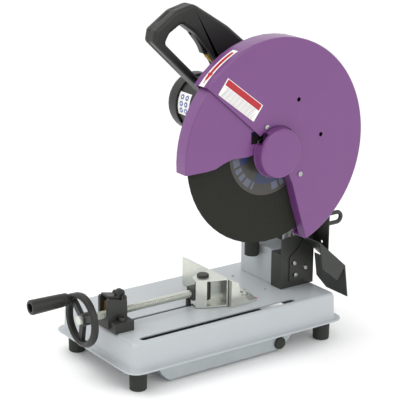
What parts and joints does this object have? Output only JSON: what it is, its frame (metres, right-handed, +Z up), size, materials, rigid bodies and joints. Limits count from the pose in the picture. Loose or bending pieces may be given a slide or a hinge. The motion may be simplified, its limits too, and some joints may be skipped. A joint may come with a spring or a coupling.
{
  "type": "bench cut-off saw",
  "caption": "Bench cut-off saw for metal: pressed-steel base with screw vice and fence, and a sprung head with motor, gear case, abrasive wheel, guards and D-handle.",
  "frame": {"origin": "middle of the bounding box in plan, at the underside of the feet", "axes": "+Z up, +Y towards the back where the head pivots, +X towards the side that the wheel is on; the vice handwheel is at -Y"},
  "size_m": [0.29, 0.6402, 0.6675],
  "materials": {
    "enamel": "smooth light grey enamel",
    "pan_steel": "plain pressed sheet",
    "black_paint": "black paint on sheet steel",
    "black_casting": "black painted casting",
    "rubber": "moulded rubber",
    "zinc": "bright zinc plate",
    "steel": "machined steel",
    "bronze": "plain bronze",
    "copper": "varnished winding and laminated core",
    "purple": "semi-gloss purple enamel",
    "abrasive": "resin-bonded abrasive",
    "black_plastic": "moulded, fine grain",
    "yellow_plastic": "moulded",
    "carbon": "pressed carbon"
  },
  "bodies": {
    "base": {"base_tray": "enamel", "foot_front_left": "rubber", "foot_front_right": "rubber", "foot_rear_left": "rubber", "foot_rear_right": "rubber", "chip_pan": "pan_steel", "pan_plug": "rubber", "pivot_bracket": "enamel", "pivot_bolt": "zinc", "pivot_nut": "zinc", "stop_buffer": "rubber", "return_spring": "steel", "chute_bracket": "black_paint", "spark_chute": "black_paint", "chain_eye": "black_paint", "fence_pivot_bolt": "zinc", "vice_bracket": "black_casting"},
    "head": {"swing_arm": "black_casting", "pivot_bush": "bronze", "gear_case": "black_casting", "motor_housing": "black_plastic", "motor_end_cap": "black_plastic", "stator": "steel", "brush_lower": "carbon", "brush_upper": "carbon", "brush_cap_lower": "black_plastic", "brush_cap_upper": "black_plastic", "spindle_bearing_rear": "steel", "spindle_bearing_front": "steel", "motor_bearing_front": "steel", "motor_bearing_rear": "steel", "upper_guard": "purple", "guard_back_plate": "purple", "hub_cap": "purple", "handle_left": "black_plastic", "handle_right": "black_plastic", "switch_body": "black_plastic", "cord_gland": "rubber"},
    "wheel": {"spindle": "steel", "drive_gear": "steel", "inner_flange": "steel", "cutting_wheel": "abrasive", "outer_flange": "steel", "arbor_bolt": "zinc"},
    "rotor": {"armature": "copper", "pinion": "steel", "fan": "black_plastic"},
    "movable_guard": {"lower_guard": "purple"},
    "trigger": {"trigger": "black_plastic"},
    "lock_off": {"lock_off_button": "yellow_plastic"},
    "vice_carriage": {"jaw_pin": "black_casting", "screw_block": "black_casting"},
    "jaw": {"vice_jaw": "zinc"},
    "fence": {"fence": "zinc", "fence_clamp_bolt": "zinc"},
    "screw": {"vice_screw": "zinc", "handwheel": "black_plastic"},
    "grip": {"crank_grip": "black_plastic"},
    "lever": {"release_lever": "black_plastic", "half_nut": "bronze"}
  },
  "joints": [
    {"name": "head_swing", "type": "hinge", "parent": "base", "child": "head", "pos_m": [-0.0253, 0.25193, 0.192], "axis": [1, 0, 0], "range_deg": [0, 44], "stiffness_Nm_per_rad": 24, "springref_deg": -63.03},
    {"name": "wheel_spin", "type": "hinge", "parent": "head", "child": "wheel", "pos_m": [0.1007, 0.11623, 0.4035], "axis": [1, 0, 0], "continuous": true},
    {"name": "rotor_spin", "type": "hinge", "parent": "head", "child": "rotor", "pos_m": [-0.0053, 0.1099, 0.45032], "axis": [1, 0, 0], "continuous": true},
    {"name": "guard_swing", "type": "hinge", "parent": "head", "child": "movable_guard", "pos_m": [0.1217, 0.11623, 0.4035], "axis": [-1, 0, 0], "range_deg": [0, 60], "stiffness_Nm_per_rad": 0.3, "springref_deg": -34.38},
    {"name": "trigger_press", "type": "slide", "parent": "head", "child": "trigger", "axis": [0, 0.7799, 0.6259], "range_m": [0, 0.006], "stiffness_N_per_m": 600, "springref_m": -0.003},
    {"name": "lock_off_press", "type": "slide", "parent": "head", "child": "lock_off", "axis": [0, 0.6832, 0.7302], "range_m": [0, 0.004], "stiffness_N_per_m": 500, "springref_m": -0.003},
    {"name": "vice_slide", "type": "slide", "parent": "base", "child": "vice_carriage", "axis": [0, 1, 0], "range_m": [-0.135, 0]},
    {"name": "fence_swivel", "type": "hinge", "parent": "base", "child": "fence", "pos_m": [-0.0533, 0.07993, 0.1], "axis": [0, 0, 1], "range_deg": [0, 45]},
    {"name": "jaw_swivel", "type": "hinge", "parent": "vice_carriage", "child": "jaw", "pos_m": [0.0247, 0.02893, 0.1225], "axis": [0, 0, 1], "range_deg": [0, 45]},
    {"name": "screw_spin", "type": "hinge", "parent": "vice_carriage", "child": "screw", "pos_m": [0.0247, -0.10407, 0.1225], "axis": [0, 1, 0], "continuous": true},
    {"name": "grip_spin", "type": "hinge", "parent": "screw", "child": "grip", "pos_m": [-0.01071, -0.28407, 0.15264], "axis": [0, 1, 0], "continuous": true},
    {"name": "lever_lift", "type": "hinge", "parent": "base", "child": "lever", "pos_m": [0.0247, -0.15607, 0.153], "axis": [-1, 0, 0], "range_deg": [0, 12], "stiffness_Nm_per_rad": 0.3, "springref_deg": -22.92}
  ],
  "couplings": [
    {"joint": "rotor_spin", "follows": "wheel_spin", "ratio": -3.5},
    {"joint": "jaw_swivel", "follows": "fence_swivel", "ratio": 1}
  ]
}
